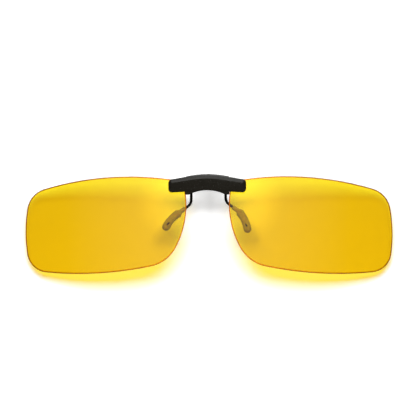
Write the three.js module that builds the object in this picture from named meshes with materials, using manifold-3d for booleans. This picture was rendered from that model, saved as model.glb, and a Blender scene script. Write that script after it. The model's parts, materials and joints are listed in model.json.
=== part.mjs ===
// Clip-on sunglasses. Two rimless tinted lenses are screwed to an arched bridge bar. Behind the bar a
// sprung lever carries two bent wires with soft pads: pinching the lever against the bar swings the
// pads back, and letting go clamps the lenses of the wearer's spectacles between pads and clamp blocks.
// Millimetres. X runs across the face, the front faces -Y, +Z is up. X = 0 is the mid-plane, and Y = 0
// is the plane of the two flat faces that rest on the front of the spectacles.
import * as THREE from 'three';
import { mergeVertices } from 'three/addons/utils/BufferGeometryUtils.js';
import Module from 'manifold-3d';

const wasm = await Module();
wasm.setup();

const LEFT = -1;
const RIGHT = 1;
const RAD = Math.PI / 180;
const SLIP = 0.05; // gap between pieces that rest on each other
const STRAY = 0.015; // furthest that a straight facet may stray from its arc
const BEYOND = 20; // further than any piece reaches: how far a cutting shape runs on
const ROOTED = 0.4; // how deep a joined-on shape runs into its body
const ROUND_SIDES = 24;

// Lenses: a spherical front surface, and a four-sided outline of bulging edges and rounded corners.
const LENS_CURVE = 135; // radius of the front surface, a base 4 lens
const LENS_THICK = 1.1;
const LENS_POLE = { x: 27.4, y: -4.6, z: -15.5 }; // foremost point of the right lens's front
const LENS_CAP_RADIUS = 46; // radius of the round blank that the lens is cut from
const LENS_CORNERS = [[8.7, 0.4], [64, -4.5], [64.5, -32.5], [15.4, -29]]; // x, z: nose top, clockwise
const LENS_EDGE_RADII = [99, 55, 147, 32.5]; // top, outer, lower and nose edge
const LENS_CORNER_RADII = [3.5, 9.2, 7.2, 13.3];
const LENS_RINGS = 8;
const LENS_SECTORS = 48;

// Bridge bar: an arched bar, chamfered along its front, cut back at both ends to seat the lenses.
const BAR_FRONT = -5.2;
const BAR_REAR = -0.9;
const BAR_HALF = 13.9;
const BAR_TOP = 2.9; // crown of the arch
const BAR_CROWN_RADIUS = 34;
const BAR_SLOPE = 8.75 * RAD; // fall of the top edge outside the crown
const BAR_TOP_CHAMFER = 1.1;
const BAR_EDGE_CHAMFER = 0.35;
const BAR_CHAMFER_DROP = 3; // the wide chamfer's shape hangs lower than the bar, so it cuts the top edge only
const BAR_ARCH = { half: 6.5, foot: -4, radius: 14.2 }; // underside between the wires
const CORE_HALF = 7.6; // full-depth middle, between the nose edges of the lenses
const TAB = { inner: 7.9, innerFoot: -2.95, outerFoot: -3.3, cornerRadius: 1.3 };

// Lens clamps
const GASKET_THICK = 0.3;
const CLAMP = { x0: 8.5, x1: 13.3, z0: -2.9, z1: 0.7, corner: 0.8 };
const SCREW_SPOTS = { inner: [10, -1.5], outer: [12.1, -0.5] }; // |x|, z
const SCREW = { head: 0.85, headThick: 0.55, dome: 0.15, shank: 0.5, top: -0.15, tip: -4.3 };
const SCREW_POINT = { radius: 0.25, length: 0.5 };
const SCREW_SIDES = 14;
const SCREW_CLEARANCE = 0.08;

// Hinge: the pin is fixed in the bar's two ears and turns in the lever's two knuckles.
const PIN = { y: 2.3, z: -1.5, radius: 0.6, half: 7.5 };
const PIN_RUNNING_GAP = 0.06;
const PIN_FIXED_GAP = 0.02;
const OPEN_ANGLE = 35 * RAD; // the lever's front then lies on the sloping tops of the ears
const STOP = { low: 1.9, high: 3, gap: 0.06 }; // ear top: heights along the lever's front, from the pin
const EAR = { x0: 3.5, x1: 4.85, radius: 1.35 };
const KNUCKLE = { x0: 4.95, x1: 7.6, radius: 1.35 };

// Finger lever
const LEVER = { front: 3.1, rear: 4.75, foot: -4, shoulder: 0.5, tabHalf: 5, tabTop: 1.6, lean: 0.6 };
const LEVER_SIDE_RADII = { frontFoot: 0.3, frontTop: 0.4, rearTop: 0.35, rearFoot: 0.5 };
const LEVER_FRONT_RADII = { arch: 0.4, foot: 0.5, shoulder: 0.8, waist: 0.3, tab: 0.6 };
const LEVER_CROWN = { top: 1.7, rise: 0.5, radius: 20 }; // bulge of the tab's top edge
const LEVER_ARCH = { half: 4.3, top: -2.4, splay: 0.5 }; // cut-out of the lever's foot, under the coil
const LEVER_POCKET = { front: 3.85, top: 0.2 }; // room for the coil and the ears
const HEEL = { foot: -3.6, top: -2.3 }; // the lever's stop against the rear of the bar
const RIBS = { count: 4, lowest: -1.9, pitch: 0.75, height: 0.25 }; // finger grip
const SOCKET_HEADROOM = 0.1; // space over the end of a wire

// Torsion spring: a coil round the pin, one leg on the bar and one on the lever.
const SPRING = { wire: 0.25, coil: 1.1, half: 2.1, turns: 7 };
const SPRING_LEGS = { barLegTop: 1.4, leverLegEnd: { y: 2.4, z: 1.3 } };
const SPRING_LEG_SHARE = 0.06; // share of the wire's steps in each leg
const SPRING_STEPS = 90;
const SPRING_SIDES = 6;

// Wires and pads. Each wire drops out of the lever, bends outwards and forwards, and runs into its pad.
// The two sides are bent by hand to slightly different angles.
const WIRE = { radius: 0.5, x: 6.2, y: 3.75, top: -0.4, bend: 1.5 };
const WIRE_STEPS = { route: 22, inPad: 4, whole: 32, sides: 8 };
const PAD = { radius: 1.45, length: 6.8, bow: 0.5, wireEnd: 1, y: -0.2, entryY: 1 };
const NECK = { radius: 0.8, length: 2.6 }; // the pad's thin sleeve on the wire
const PAD_BORE = { from: -0.1, to: 0.91, gap: 0.1 }; // shares of the pad's length
const PAD_STEPS = { knots: 5, whole: 9, sides: 12, boreSides: 10, tipRings: 8 };
const REACH = {
  [LEFT]: { bendZ: -8.5, entry: [10.3, -11.3], tilt: 46 * RAD },
  [RIGHT]: { bendZ: -7.8, entry: [11, -10.9], tilt: 63 * RAD },
};

const MATERIALS = {
  lens: { color: 0xf2c431, roughness: 0.08, metalness: 0, transparent: true, opacity: 0.6 },
  blackPlastic: { color: 0x1d1d1b, roughness: 0.5, metalness: 0 },
  blackSteel: { color: 0x141312, roughness: 0.4, metalness: 0.6 },
  steel: { color: 0xa9abad, roughness: 0.3, metalness: 1 },
  silicone: { color: 0x959390, roughness: 0.6, metalness: 0 },
};

// --- solids ---------------------------------------------------------------------------------------

const AXIS_X = new THREE.Vector3(1, 0, 0);
const AXIS_Y = new THREE.Vector3(0, 1, 0);
const AXIS_Z = new THREE.Vector3(0, 0, 1);
const TOWARDS_FRONT = new THREE.Matrix4().makeBasis(AXIS_X, AXIS_Z, AXIS_Y.clone().negate());
const TOWARDS_RIGHT = new THREE.Matrix4().makeBasis(AXIS_Y, AXIS_Z, AXIS_X);

function toSolid(geometry) {
  const bare = geometry.index ? geometry.toNonIndexed() : geometry.clone();
  bare.deleteAttribute('normal');
  bare.deleteAttribute('uv');
  const merged = mergeVertices(bare);
  return new wasm.Manifold(new wasm.Mesh({
    numProp: 3,
    vertProperties: new Float32Array(merged.attributes.position.array),
    triVerts: new Uint32Array(merged.index.array),
  }));
}

function toGeometry(solid) {
  const mesh = solid.getMesh();
  const geometry = new THREE.BufferGeometry();
  geometry.setAttribute('position', new THREE.BufferAttribute(new Float32Array(mesh.vertProperties), 3));
  geometry.setIndex(new THREE.BufferAttribute(new Uint32Array(mesh.triVerts), 1));
  geometry.computeVertexNormals();
  return geometry;
}

// A prism along Y from an outline in x, z; it runs from the plane `rear` forwards to `front`.
function prismY(outline, rear, front, chamfer = 0) {
  const geometry = new THREE.ExtrudeGeometry(new THREE.Shape(outline), {
    depth: rear - front - chamfer,
    bevelEnabled: chamfer > 0,
    bevelSegments: 1,
    bevelThickness: chamfer,
    bevelSize: chamfer,
    bevelOffset: -chamfer,
  });
  geometry.applyMatrix4(TOWARDS_FRONT);
  geometry.translate(0, rear, 0);
  return toSolid(geometry);
}

// A prism along X from an outline in y, z.
function prismX(outline, x0, x1) {
  const options = { depth: x1 - x0, bevelEnabled: false };
  const geometry = new THREE.ExtrudeGeometry(new THREE.Shape(outline), options);
  geometry.applyMatrix4(TOWARDS_RIGHT);
  geometry.translate(x0, 0, 0);
  return toSolid(geometry);
}

// A rod along the hinge's axis.
function rodX(radius, x0, x1) {
  const geometry = new THREE.CylinderGeometry(radius, radius, x1 - x0, ROUND_SIDES);
  geometry.rotateZ(Math.PI / 2);
  geometry.translate((x0 + x1) / 2, PIN.y, PIN.z);
  return toSolid(geometry);
}

function rodY(radius, x, z, y0, y1) {
  const geometry = new THREE.CylinderGeometry(radius, radius, y1 - y0, ROUND_SIDES);
  geometry.translate(x, (y0 + y1) / 2, z);
  return toSolid(geometry);
}

function tube(path, radius, steps, sides) {
  const section = new THREE.Shape(circlePoints([0, 0], radius, 0, 2 * Math.PI, sides));
  return new THREE.ExtrudeGeometry(section, { extrudePath: path, steps, bevelEnabled: false });
}

// --- outlines: lists of points, each arc leaves out its last point ---------------------------------

// Even shares between two values, both included.
function evenShares(from, to, steps) {
  return Array.from({ length: steps + 1 }, (_, i) => from + ((to - from) * i) / steps);
}

function circlePoints(centre, radius, from, to, steps) {
  const points = [];
  for (let i = 0; i < steps; i += 1) {
    const angle = from + ((to - from) * i) / steps;
    const x = centre[0] + radius * Math.cos(angle);
    const y = centre[1] + radius * Math.sin(angle);
    points.push(new THREE.Vector2(x, y));
  }
  return points;
}

function angleFrom(centre, point) {
  return Math.atan2(point[1] - centre[1], point[0] - centre[0]);
}

// How many straight facets an arc needs.
function facets(radius, turn) {
  return Math.max(2, Math.ceil(Math.abs(turn) / (2 * Math.acos(1 - STRAY / radius))));
}

// Clockwise arc from one point to another about a centre.
function clockwiseArc(centre, radius, start, end) {
  const from = angleFrom(centre, start);
  let to = angleFrom(centre, end);
  if (to > from) to -= 2 * Math.PI;
  return circlePoints(centre, radius, from, to, facets(radius, to - from));
}

// Centre of the circle of this radius through two points, on the right of the way from p to q.
function arcCentre(p, q, radius) {
  const dx = q[0] - p[0];
  const dy = q[1] - p[1];
  const length = Math.hypot(dx, dy);
  const away = Math.sqrt(radius ** 2 - (length / 2) ** 2) / length;
  return [(p[0] + q[0]) / 2 + dy * away, (p[1] + q[1]) / 2 - dx * away];
}

// Centre of the small circle that touches two circles from inside, next to a corner.
function filletCentre(a, radiusA, b, radiusB, fillet, corner) {
  const dx = b[0] - a[0];
  const dy = b[1] - a[1];
  const span = Math.hypot(dx, dy);
  const reachA = radiusA - fillet;
  const along = (reachA ** 2 - (radiusB - fillet) ** 2 + span ** 2) / (2 * span);
  const across = Math.sqrt(reachA ** 2 - along ** 2);
  const choices = [1, -1].map((side) => [
    a[0] + (dx * along - side * dy * across) / span,
    a[1] + (dy * along + side * dx * across) / span,
  ]);
  const gap = (point) => Math.hypot(point[0] - corner[0], point[1] - corner[1]);
  return gap(choices[0]) < gap(choices[1]) ? choices[0] : choices[1];
}

function touchPoint(centre, radius, fillet, filletRadius) {
  const grow = radius / (radius - filletRadius);
  return [centre[0] + (fillet[0] - centre[0]) * grow, centre[1] + (fillet[1] - centre[1]) * grow];
}

// The lens outline: corners in clockwise order, joined by arcs and rounded by tangent arcs.
function lensOutline(side) {
  const last = LENS_CORNERS.length - 1;
  const centres = LENS_CORNERS.map((corner, i) => (
    arcCentre(corner, LENS_CORNERS[i === last ? 0 : i + 1], LENS_EDGE_RADII[i])
  ));
  const fillets = LENS_CORNERS.map((corner, i) => {
    const before = i === 0 ? last : i - 1;
    const radius = LENS_CORNER_RADII[i];
    const centre = filletCentre(
      centres[before], LENS_EDGE_RADII[before], centres[i], LENS_EDGE_RADII[i], radius, corner,
    );
    return {
      centre,
      start: touchPoint(centres[before], LENS_EDGE_RADII[before], centre, radius),
      end: touchPoint(centres[i], LENS_EDGE_RADII[i], centre, radius),
    };
  });
  const points = [];
  fillets.forEach((fillet, i) => {
    const next = fillets[i === last ? 0 : i + 1];
    points.push(...clockwiseArc(fillet.centre, LENS_CORNER_RADII[i], fillet.start, fillet.end));
    points.push(...clockwiseArc(centres[i], LENS_EDGE_RADII[i], fillet.end, next.start));
  });
  return points.map((point) => new THREE.Vector2(point.x * side, point.y));
}

// A polygon of [x, y, corner radius] with its corners rounded; radius 0 keeps a sharp corner.
function roundedPolygon(corners) {
  const points = [];
  corners.forEach(([x, y, radius], i) => {
    const here = new THREE.Vector2(x, y);
    if (!radius) {
      points.push(here);
      return;
    }
    const before = corners[(i + corners.length - 1) % corners.length];
    const after = corners[(i + 1) % corners.length];
    const back = new THREE.Vector2(before[0] - x, before[1] - y).normalize();
    const on = new THREE.Vector2(after[0] - x, after[1] - y).normalize();
    const half = Math.acos(THREE.MathUtils.clamp(back.dot(on), -1, 1)) / 2;
    const middle = back.clone().add(on).normalize();
    const centre = here.clone().addScaledVector(middle, radius / Math.sin(half));
    const start = here.clone().addScaledVector(back, radius / Math.tan(half)).sub(centre);
    const end = here.clone().addScaledVector(on, radius / Math.tan(half)).sub(centre);
    const turn = Math.sign(start.cross(end)) * (Math.PI - 2 * half);
    const steps = facets(radius, turn);
    for (let step = 0; step <= steps; step += 1) {
      points.push(start.clone().rotateAround(new THREE.Vector2(), (turn * step) / steps).add(centre));
    }
  });
  return points;
}

function rectangle(x0, x1, y0, y1, radius = 0) {
  return roundedPolygon([[x0, y0, radius], [x1, y0, radius], [x1, y1, radius], [x0, y1, radius]]);
}

// A rectangle given by distances from the mid-plane, on one side of it.
function sideRectangle(side, near, far, z0, z1, radius = 0) {
  return rectangle(Math.min(side * near, side * far), Math.max(side * near, side * far), z0, z1, radius);
}

// --- lenses and their clamps ------------------------------------------------------------------------

// The part of an outline's prism that lies between two depths under the lens's front surface.
function lensLayer(side, outline, nearDepth, farDepth) {
  const outer = LENS_CURVE - nearDepth;
  const inner = LENS_CURVE - farDepth;
  const sweep = Math.asin(LENS_CAP_RADIUS / LENS_CURVE);
  const profile = [];
  for (const angle of evenShares(0, sweep, LENS_RINGS)) {
    profile.push(new THREE.Vector2(outer * Math.sin(angle), -outer * Math.cos(angle)));
  }
  for (const angle of evenShares(sweep, 0, LENS_RINGS)) {
    profile.push(new THREE.Vector2(inner * Math.sin(angle), -inner * Math.cos(angle)));
  }
  profile[0].x = 0;
  profile[profile.length - 1].x = 0;
  const shell = new THREE.LatheGeometry(profile, LENS_SECTORS);
  shell.translate(side * LENS_POLE.x, LENS_POLE.y + LENS_CURVE, LENS_POLE.z);
  return toSolid(shell).intersect(prismY(outline, BEYOND, -BEYOND));
}

function screwHoles(side, radius) {
  const holes = Object.values(SCREW_SPOTS).map(([x, z]) => rodY(radius, side * x, z, -BEYOND, BEYOND));
  return holes[0].add(holes[1]);
}

function lens(side) {
  const blank = lensLayer(side, lensOutline(side), 0, LENS_THICK);
  return blank.subtract(screwHoles(side, SCREW.shank + SCREW_CLEARANCE));
}

function gasket(side) {
  const outline = sideRectangle(side, CLAMP.x0, CLAMP.x1, CLAMP.z0, CLAMP.z1, CLAMP.corner);
  const sheet = lensLayer(side, outline, -SLIP - GASKET_THICK, -SLIP);
  return sheet.subtract(screwHoles(side, SCREW.shank + SCREW_CLEARANCE));
}

function clampBlock(side) {
  const outline = sideRectangle(side, CLAMP.x0, CLAMP.x1, CLAMP.z0, CLAMP.z1, CLAMP.corner);
  const seat = SCREW.top - SCREW.headThick - SLIP;
  const sinks = Object.values(SCREW_SPOTS).map(([x, z]) => (
    rodY(SCREW.head + SCREW_CLEARANCE, side * x, z, seat, BEYOND)
  ));
  return lensLayer(side, outline, LENS_THICK + SLIP, BEYOND)
    .intersect(prismY(outline, 0, -BEYOND))
    .subtract(screwHoles(side, SCREW.shank + SCREW_CLEARANCE))
    .subtract(sinks[0].add(sinks[1]));
}

// Screw about its own axis, head towards +Y.
function screwGeometry() {
  const under = SCREW.top - SCREW.headThick;
  const profile = [
    [0, SCREW.tip],
    [SCREW_POINT.radius, SCREW.tip],
    [SCREW.shank, SCREW.tip + SCREW_POINT.length],
    [SCREW.shank, under],
    [SCREW.head, under],
    [SCREW.head, SCREW.top - SCREW.dome],
    [SCREW.head - SCREW.dome, SCREW.top],
    [0, SCREW.top],
  ].map(([radius, y]) => new THREE.Vector2(radius, y));
  return toGeometry(toSolid(new THREE.LatheGeometry(profile, SCREW_SIDES)));
}

// --- bridge bar -------------------------------------------------------------------------------------

// The bar seen from the front; its underside may be set lower.
function barOutline(lower) {
  const apex = BAR_TOP + BAR_CROWN_RADIUS * (1 / Math.cos(BAR_SLOPE) - 1);
  const endTop = apex - BAR_HALF * Math.tan(BAR_SLOPE);
  const arch = BAR_ARCH;
  const foot = [arch.half, arch.foot - lower];
  const archCentre = arcCentre([-foot[0], foot[1]], foot, arch.radius);
  const underside = clockwiseArc(archCentre, arch.radius, [-foot[0], foot[1]], foot).reverse();
  return roundedPolygon([
    [-BAR_HALF, endTop, TAB.cornerRadius],
    [0, apex, BAR_CROWN_RADIUS],
    [BAR_HALF, endTop, TAB.cornerRadius],
    [BAR_HALF, TAB.outerFoot - lower, TAB.cornerRadius],
    [TAB.inner, TAB.innerFoot - lower, 0],
    [TAB.inner, arch.foot - lower, 0],
    [foot[0], foot[1], 0],
    ...underside.map((point) => [point.x, point.y, 0]),
    [-TAB.inner, arch.foot - lower, 0],
    [-TAB.inner, TAB.innerFoot - lower, 0],
    [-BAR_HALF, TAB.outerFoot - lower, TAB.cornerRadius],
  ]);
}

// A point of the lever's front face, at a height above the pin, when the lever is open.
function openLeverFront(height) {
  const depth = LEVER.front - PIN.y - STOP.gap;
  return new THREE.Vector2(depth, height).rotateAround(new THREE.Vector2(), OPEN_ANGLE)
    .add(new THREE.Vector2(PIN.y, PIN.z));
}

// Side view of an ear, in y and z: a round nose about the pin, and the lever's stop above it.
function earOutline() {
  const root = BAR_REAR - ROOTED;
  const stopTop = openLeverFront(STOP.high);
  return [
    new THREE.Vector2(root, PIN.z - EAR.radius),
    ...circlePoints([PIN.y, PIN.z], EAR.radius, -Math.PI / 2, Math.PI / 2, ROUND_SIDES / 2),
    openLeverFront(STOP.low),
    stopTop,
    new THREE.Vector2(root, stopTop.y),
  ];
}

function bridgeBar() {
  const chamfered = prismY(barOutline(BAR_CHAMFER_DROP), BEYOND, BAR_FRONT, BAR_TOP_CHAMFER);
  let bar = prismY(barOutline(0), BEYOND, BAR_FRONT, BAR_EDGE_CHAMFER).intersect(chamfered);
  bar = bar.intersect(prismY(rectangle(-BEYOND, BEYOND, -BEYOND, BEYOND), BAR_REAR, -BEYOND));
  for (const side of [LEFT, RIGHT]) {
    const outline = sideRectangle(side, CORE_HALF, BEYOND, -BEYOND, BEYOND);
    bar = bar.subtract(lensLayer(side, outline, -2 * SLIP - GASKET_THICK, BEYOND));
    for (const [x, z] of Object.values(SCREW_SPOTS)) {
      bar = bar.subtract(rodY(SCREW.shank + SLIP, side * x, z, SCREW.tip - SLIP, BEYOND));
    }
    const x0 = Math.min(side * EAR.x0, side * EAR.x1);
    bar = bar.add(prismX(earOutline(), x0, x0 + EAR.x1 - EAR.x0));
  }
  return bar.subtract(rodX(PIN.radius + PIN_FIXED_GAP, -PIN.half, PIN.half));
}

// --- lever, pin and spring --------------------------------------------------------------------------

// Side view of the lever plate, in y and z: its front upright below and leaning back above, its rear ribbed.
function leverProfile() {
  const { front, rear, foot, shoulder, tabTop, lean } = LEVER;
  const rearAt = (z) => rear + (lean * (z - foot)) / (tabTop - foot);
  const quarter = RIBS.pitch / 4;
  const ribs = [];
  for (let i = RIBS.count - 1; i >= 0; i -= 1) {
    const z = RIBS.lowest + RIBS.pitch * i;
    const crest = rearAt(z) + RIBS.height;
    ribs.push([rearAt(z), z + 3 * quarter, 0]);
    ribs.push([crest, z + 2 * quarter, 0]);
    ribs.push([crest, z + quarter, 0]);
    ribs.push([rearAt(z), z, 0]);
  }
  return roundedPolygon([
    [front, foot, LEVER_SIDE_RADII.frontFoot],
    [front, shoulder, 0],
    [front + lean, tabTop, LEVER_SIDE_RADII.frontTop],
    [rear + lean, tabTop, LEVER_SIDE_RADII.rearTop],
    ...ribs,
    [rear, foot, LEVER_SIDE_RADII.rearFoot],
  ]);
}

// The lever seen from the front: a finger tab on a wider foot, which is arched under the coil.
function leverFrontOutline() {
  const { foot, shoulder, tabHalf } = LEVER;
  const half = KNUCKLE.x1;
  const arch = LEVER_ARCH;
  const radii = LEVER_FRONT_RADII;
  const rightSide = [
    [arch.half, arch.top, radii.arch],
    [arch.half + arch.splay, foot, 0],
    [half, foot, radii.foot],
    [half, shoulder, radii.shoulder],
    [tabHalf, shoulder, radii.waist],
    [tabHalf, LEVER_CROWN.top - LEVER_CROWN.rise, radii.tab],
  ];
  const leftSide = rightSide.map(([x, z, radius]) => [-x, z, radius]).reverse();
  return roundedPolygon([...rightSide, [0, LEVER_CROWN.top, LEVER_CROWN.radius], ...leftSide]);
}

function clipLever() {
  const plate = prismX(leverProfile(), -KNUCKLE.x1, KNUCKLE.x1);
  const pocket = rectangle(0, LEVER_POCKET.front, -BEYOND, LEVER_POCKET.top);
  let lever = plate.intersect(prismY(leverFrontOutline(), BEYOND, 0));
  lever = lever.subtract(prismX(pocket, -KNUCKLE.x0, KNUCKLE.x0));
  for (const side of [LEFT, RIGHT]) {
    const x0 = Math.min(side * KNUCKLE.x0, side * KNUCKLE.x1);
    const x1 = x0 + KNUCKLE.x1 - KNUCKLE.x0;
    const knuckle = circlePoints([PIN.y, PIN.z], KNUCKLE.radius, 0, 2 * Math.PI, ROUND_SIDES);
    const web = rectangle(PIN.y, LEVER.front + ROOTED, PIN.z - KNUCKLE.radius, PIN.z + KNUCKLE.radius);
    const heel = rectangle(BAR_REAR + SLIP, LEVER.front + ROOTED, HEEL.foot, HEEL.top);
    lever = lever.add(prismX(knuckle, x0, x1)).add(prismX(web, x0, x1)).add(prismX(heel, x0, x1));
    lever = lever.subtract(toSolid(wireSocket(side)));
  }
  return lever.subtract(rodX(PIN.radius + PIN_RUNNING_GAP, -BEYOND, BEYOND));
}

// The hole that a wire is pressed into, open below.
function wireSocket(side) {
  const top = WIRE.top + SOCKET_HEADROOM;
  const radius = WIRE.radius + SLIP;
  const geometry = new THREE.CylinderGeometry(radius, radius, top + BEYOND, ROUND_SIDES);
  geometry.rotateX(Math.PI / 2);
  geometry.translate(side * WIRE.x, WIRE.y, (top - BEYOND) / 2);
  return geometry;
}

// The spring's centre line: bar leg, coil, lever leg, joined where the legs touch the coil's circle.
class SpringPath extends THREE.Curve {
  constructor() {
    super();
    const barLeg = [BAR_REAR + SPRING.wire + SLIP - PIN.y, SPRING_LEGS.barLegTop - PIN.z];
    const leverLeg = [SPRING_LEGS.leverLegEnd.y - PIN.y, SPRING_LEGS.leverLegEnd.z - PIN.z];
    const opening = (leg) => Math.acos(SPRING.coil / Math.hypot(...leg));
    this.from = Math.atan2(barLeg[1], barLeg[0]) + opening(barLeg);
    const leave = Math.atan2(leverLeg[1], leverLeg[0]) - opening(leverLeg);
    this.to = leave + 2 * Math.PI * SPRING.turns;
    this.ends = [barLeg, leverLeg];
  }

  coilPoint(share) {
    const angle = this.from + (this.to - this.from) * share;
    const x = SPRING.half * (2 * share - 1);
    return new THREE.Vector3(x, PIN.y + SPRING.coil * Math.cos(angle), PIN.z + SPRING.coil * Math.sin(angle));
  }

  legPoint(end, share) {
    const [y, z] = this.ends[end];
    const x = SPRING.half * (2 * end - 1);
    return new THREE.Vector3(x, PIN.y + y, PIN.z + z).lerp(this.coilPoint(end), share);
  }

  getPoint(t) {
    if (t < SPRING_LEG_SHARE) return this.legPoint(0, t / SPRING_LEG_SHARE);
    if (t > 1 - SPRING_LEG_SHARE) return this.legPoint(1, (1 - t) / SPRING_LEG_SHARE);
    return this.coilPoint((t - SPRING_LEG_SHARE) / (1 - 2 * SPRING_LEG_SHARE));
  }

  // Even steps in t, so that every turn of the coil gets the same number of them.
  getSpacedPoints(divisions) {
    return this.getPoints(divisions);
  }

  getUtoTmapping(u) {
    return u;
  }
}

function torsionSpring() {
  return toSolid(tube(new SpringPath(), SPRING.wire, SPRING_STEPS, SPRING_SIDES));
}

function hingePin() {
  return rodX(PIN.radius, -PIN.half, PIN.half);
}

// --- wires and pads ---------------------------------------------------------------------------------

function at(side, x, y, z) {
  return new THREE.Vector3(side * x, y, z);
}

// Points of a pad's centre line: from where the wire enters to the tip, bowed away from the nose.
function padPoint(side, share) {
  const { entry, tilt } = REACH[side];
  const along = PAD.length * share;
  const bow = PAD.bow * 4 * share * (1 - share);
  const x = entry[0] + along * Math.cos(tilt) + bow * Math.sin(tilt);
  const z = entry[1] - along * Math.sin(tilt) + bow * Math.cos(tilt);
  const y = PAD.y + (PAD.entryY - PAD.y) * (1 - share) ** 2;
  return at(side, x, y, z);
}

class RoundedRoute extends THREE.CurvePath {
  constructor(corners, bend) {
    super();
    let here = corners[0];
    for (let i = 1; i < corners.length - 1; i += 1) {
      const corner = corners[i];
      const before = corner.clone().add(here.clone().sub(corner).setLength(bend));
      const after = corner.clone().add(corners[i + 1].clone().sub(corner).setLength(bend));
      this.add(new THREE.LineCurve3(here, before));
      this.add(new THREE.QuadraticBezierCurve3(before, corner, after));
      here = after;
    }
    this.add(new THREE.LineCurve3(here, corners[corners.length - 1]));
  }
}

function legWire(side) {
  const { bendZ } = REACH[side];
  const endShare = 1 - PAD.wireEnd / PAD.length;
  const route = new RoundedRoute([
    at(side, WIRE.x, WIRE.y, WIRE.top),
    at(side, WIRE.x, WIRE.y, bendZ),
    padPoint(side, 0),
  ], WIRE.bend).getSpacedPoints(WIRE_STEPS.route).slice(0, -1);
  const inPad = evenShares(0, endShare, WIRE_STEPS.inPad).map((share) => padPoint(side, share));
  const path = new THREE.CatmullRomCurve3([...route, ...inPad], false, 'centripetal');
  return toSolid(tube(path, WIRE.radius, WIRE_STEPS.whole, WIRE_STEPS.sides));
}

// A straight tube along the wire, from some way before the pad to just inside it.
function neckTube(side, length, radius) {
  const entry = padPoint(side, 0);
  const towardsBend = at(side, WIRE.x, WIRE.y, REACH[side].bendZ).sub(entry).normalize();
  const start = entry.clone().addScaledVector(towardsBend, length);
  const end = entry.clone().addScaledVector(towardsBend, -ROOTED);
  return toSolid(tube(new THREE.LineCurve3(start, end), radius, 1, PAD_STEPS.sides));
}

function pad(side) {
  const line = (from, to) => new THREE.CatmullRomCurve3(
    evenShares(from, to, PAD_STEPS.knots).map((share) => padPoint(side, share)),
  );
  const tip = new THREE.SphereGeometry(PAD.radius, PAD_STEPS.sides, PAD_STEPS.tipRings);
  const end = padPoint(side, 1);
  tip.translate(end.x, end.y, end.z);
  const { whole, sides, boreSides } = PAD_STEPS;
  const boreRadius = WIRE.radius + PAD_BORE.gap;
  const body = toSolid(tube(line(0, 1), PAD.radius, whole, sides)).add(toSolid(tip));
  const bore = toSolid(tube(line(PAD_BORE.from, PAD_BORE.to), boreRadius, whole, boreSides));
  return body
    .add(neckTube(side, NECK.length, NECK.radius))
    .subtract(bore)
    .subtract(neckTube(side, NECK.length + ROOTED, boreRadius));
}

// --- assembly ---------------------------------------------------------------------------------------

const assembly = new THREE.Group();

function addMesh(name, geometry, material, position = [0, 0, 0]) {
  const mesh = new THREE.Mesh(geometry, new THREE.MeshStandardMaterial(material));
  mesh.name = name;
  mesh.position.set(...position);
  assembly.add(mesh);
}

addMesh('bridge_bar', toGeometry(bridgeBar()), MATERIALS.blackPlastic);
addMesh('clip_lever', toGeometry(clipLever()), MATERIALS.blackPlastic);
addMesh('hinge_pin', toGeometry(hingePin()), MATERIALS.steel);
addMesh('torsion_spring', toGeometry(torsionSpring()), MATERIALS.steel);

for (const side of [LEFT, RIGHT]) {
  const label = side === LEFT ? 'left' : 'right';
  addMesh(`lens_${label}`, toGeometry(lens(side)), MATERIALS.lens);
  addMesh(`gasket_${label}`, toGeometry(gasket(side)), MATERIALS.silicone);
  addMesh(`clamp_block_${label}`, toGeometry(clampBlock(side)), MATERIALS.blackPlastic);
  addMesh(`leg_wire_${label}`, toGeometry(legWire(side)), MATERIALS.blackSteel);
  addMesh(`pad_${label}`, toGeometry(pad(side)), MATERIALS.silicone);
  for (const [place, [x, z]] of Object.entries(SCREW_SPOTS)) {
    addMesh(`lens_screw_${label}_${place}`, screwGeometry(), MATERIALS.steel, [side * x, 0, z]);
  }
}

export default assembly;
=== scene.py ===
"""Clip-on sunglasses: the looks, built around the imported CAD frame.

Two yellow rimless lenses hang from a black arched bridge bar. A sprung lever behind the bar carries two
wires with silicone pads. Lengths are in metres. X runs across the face, the front faces -Y, +Z is up.
"""

import json
import math

import bmesh
import bpy
from mathutils import Matrix, Quaternion, Vector

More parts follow.
